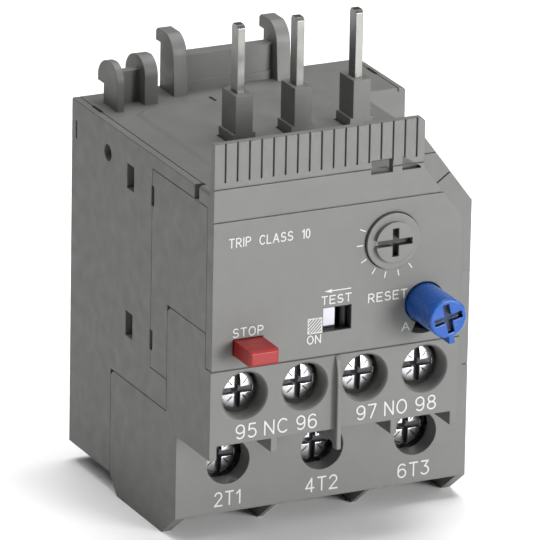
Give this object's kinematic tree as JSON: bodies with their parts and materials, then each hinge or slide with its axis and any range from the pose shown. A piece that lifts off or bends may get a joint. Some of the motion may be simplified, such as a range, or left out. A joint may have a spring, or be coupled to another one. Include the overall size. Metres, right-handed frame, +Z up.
{
  "type": "thermal overload relay",
  "caption": "Three-pole thermal overload relay for direct mounting under a contactor, with connection pins, setting dial, reset and stop buttons, test slider and terminals.",
  "frame": {"origin": "middle of the overall box at the height of the foot fins", "axes": "+X to the right seen from the front, +Y from the front panel to the back, +Z up along the connection pins"},
  "size_m": [0.045, 0.0554, 0.071],
  "materials": {
    "housing_grey": "fine-textured moulded grey polyamide",
    "cover_grey": "fine-textured moulded grey polyamide",
    "dial_grey": "smooth moulded grey plastic",
    "mechanism_black": "black moulded plastic",
    "reset_blue": "satin blue plastic",
    "stop_red": "satin red plastic",
    "slider_white": "white moulded plastic",
    "pin_tinned_copper": "tin-plated copper, rolled and cut",
    "zinc_plated_steel": "bright zinc plate",
    "contact_brass": "rolled brass",
    "bimetal": "rolled bimetal",
    "heater_alloy": "nickel-chrome ribbon",
    "pivot_steel": "turned steel",
    "spring_steel": "spring steel"
  },
  "bodies": {
    "relay_base": {"adjusting_pin": "pivot_steel", "base_housing": "housing_grey", "bimetal_strip_1": "bimetal", "bimetal_strip_2": "bimetal", "bimetal_strip_3": "bimetal", "carrier_spring": "spring_steel", "connection_pin_1": "pin_tinned_copper", "connection_pin_2": "pin_tinned_copper", "connection_pin_3": "pin_tinned_copper", "contact_clamp_1": "zinc_plated_steel", "contact_clamp_2": "zinc_plated_steel", "contact_clamp_3": "zinc_plated_steel", "contact_clamp_4": "zinc_plated_steel", "contact_terminal_1": "contact_brass", "contact_terminal_2": "contact_brass", "contact_terminal_3": "contact_brass", "contact_terminal_4": "contact_brass", "front_cover": "cover_grey", "heater_winding_1": "heater_alloy", "heater_winding_2": "heater_alloy", "heater_winding_3": "heater_alloy", "lever_pin": "pivot_steel", "main_clamp_1": "zinc_plated_steel", "main_clamp_2": "zinc_plated_steel", "main_clamp_3": "zinc_plated_steel", "main_terminal_1": "contact_brass", "main_terminal_2": "contact_brass", "main_terminal_3": "contact_brass", "mechanism_housing": "housing_grey", "reset_spring": "spring_steel", "stop_spring": "spring_steel", "terminal_housing": "housing_grey"},
    "trip_slide": {"trip_slide": "mechanism_black"},
    "trip_lever": {"trip_lever": "mechanism_black", "compensation_strip": "bimetal"},
    "contact_carrier": {"contact_carrier": "mechanism_black", "opening_bridge": "contact_brass", "closing_bridge": "contact_brass"},
    "setting_dial": {"setting_dial": "dial_grey", "setting_cam": "dial_grey"},
    "adjusting_lever": {"adjusting_lever": "dial_grey"},
    "reset_plunger": {"reset_plunger": "mechanism_black"},
    "reset_button": {"reset_button": "reset_blue"},
    "stop_button": {"stop_button": "stop_red"},
    "test_slider": {"test_slider": "slider_white"},
    "main_screw_1": {"main_screw_1": "zinc_plated_steel"},
    "main_screw_2": {"main_screw_2": "zinc_plated_steel"},
    "main_screw_3": {"main_screw_3": "zinc_plated_steel"},
    "contact_screw_1": {"contact_screw_1": "zinc_plated_steel"},
    "contact_screw_2": {"contact_screw_2": "zinc_plated_steel"},
    "contact_screw_3": {"contact_screw_3": "zinc_plated_steel"},
    "contact_screw_4": {"contact_screw_4": "zinc_plated_steel"}
  },
  "joints": [
    {"name": "trip_travel", "type": "slide", "parent": "relay_base", "child": "trip_slide", "axis": [1, 0, 0], "range_m": [0, 0.0012]},
    {"name": "lever_turn", "type": "hinge", "parent": "relay_base", "child": "trip_lever", "pos_m": [0.0155, -0.00535, 0.033], "axis": [0, -1, 0], "range_deg": [0, 9.5]},
    {"name": "carrier_travel", "type": "slide", "parent": "relay_base", "child": "contact_carrier", "axis": [0, 0, -1], "range_m": [0, 0.000951], "stiffness_N_per_m": 100, "springref_m": -0.002, "deforming": ["carrier_spring"]},
    {"name": "dial_turn", "type": "hinge", "parent": "relay_base", "child": "setting_dial", "pos_m": [0.0047, -0.02015, 0.04437], "axis": [0, -1, 0], "range_deg": [-24, 125.3]},
    {"name": "adjuster_turn", "type": "hinge", "parent": "relay_base", "child": "adjusting_lever", "pos_m": [0.0106, -0.01135, 0.0476], "axis": [0, -1, 0], "range_deg": [-1.69, 8.58]},
    {"name": "reset_push", "type": "slide", "parent": "relay_base", "child": "reset_plunger", "axis": [0, 1, 0], "range_m": [0, 0.0025], "stiffness_N_per_m": 300, "springref_m": -0.003, "deforming": ["reset_spring"]},
    {"name": "reset_turn", "type": "hinge", "parent": "reset_plunger", "child": "reset_button", "pos_m": [0.00985, -0.02015, 0.03465], "axis": [0, -1, 0], "range_deg": [-27, 0]},
    {"name": "stop_push", "type": "slide", "parent": "relay_base", "child": "stop_button", "axis": [0, 1, 0], "range_m": [0, 0.0025], "stiffness_N_per_m": 300, "springref_m": -0.003, "deforming": ["stop_spring"]},
    {"name": "test_travel", "type": "slide", "parent": "relay_base", "child": "test_slider", "axis": [-1, 0, 0], "range_m": [0, 0.0014]},
    {"name": "main_screw_1_turn", "type": "hinge", "parent": "relay_base", "child": "main_screw_1", "pos_m": [-0.0145, -0.00575, 0.01085], "axis": [0, -1, 0], "continuous": true},
    {"name": "main_screw_2_turn", "type": "hinge", "parent": "relay_base", "child": "main_screw_2", "pos_m": [0, -0.00575, 0.01085], "axis": [0, -1, 0], "continuous": true},
    {"name": "main_screw_3_turn", "type": "hinge", "parent": "relay_base", "child": "main_screw_3", "pos_m": [0.0145, -0.00575, 0.01085], "axis": [0, -1, 0], "continuous": true},
    {"name": "contact_screw_1_turn", "type": "hinge", "parent": "relay_base", "child": "contact_screw_1", "pos_m": [-0.01726, -0.01625, 0.0247], "axis": [0, -1, 0], "continuous": true},
    {"name": "contact_screw_2_turn", "type": "hinge", "parent": "relay_base", "child": "contact_screw_2", "pos_m": [-0.00809, -0.01625, 0.0247], "axis": [0, -1, 0], "continuous": true},
    {"name": "contact_screw_3_turn", "type": "hinge", "parent": "relay_base", "child": "contact_screw_3", "pos_m": [0.00109, -0.01625, 0.0247], "axis": [0, -1, 0], "continuous": true},
    {"name": "contact_screw_4_turn", "type": "hinge", "parent": "relay_base", "child": "contact_screw_4", "pos_m": [0.01026, -0.01625, 0.0247], "axis": [0, -1, 0], "continuous": true}
  ],
  "couplings": [
    {"joint": "lever_turn", "follows": "trip_travel", "rad_per_m": 137.93},
    {"joint": "carrier_travel", "follows": "trip_travel", "ratio": 0.79167},
    {"joint": "adjuster_turn", "follows": "dial_turn", "ratio": 0.06811}
  ]
}
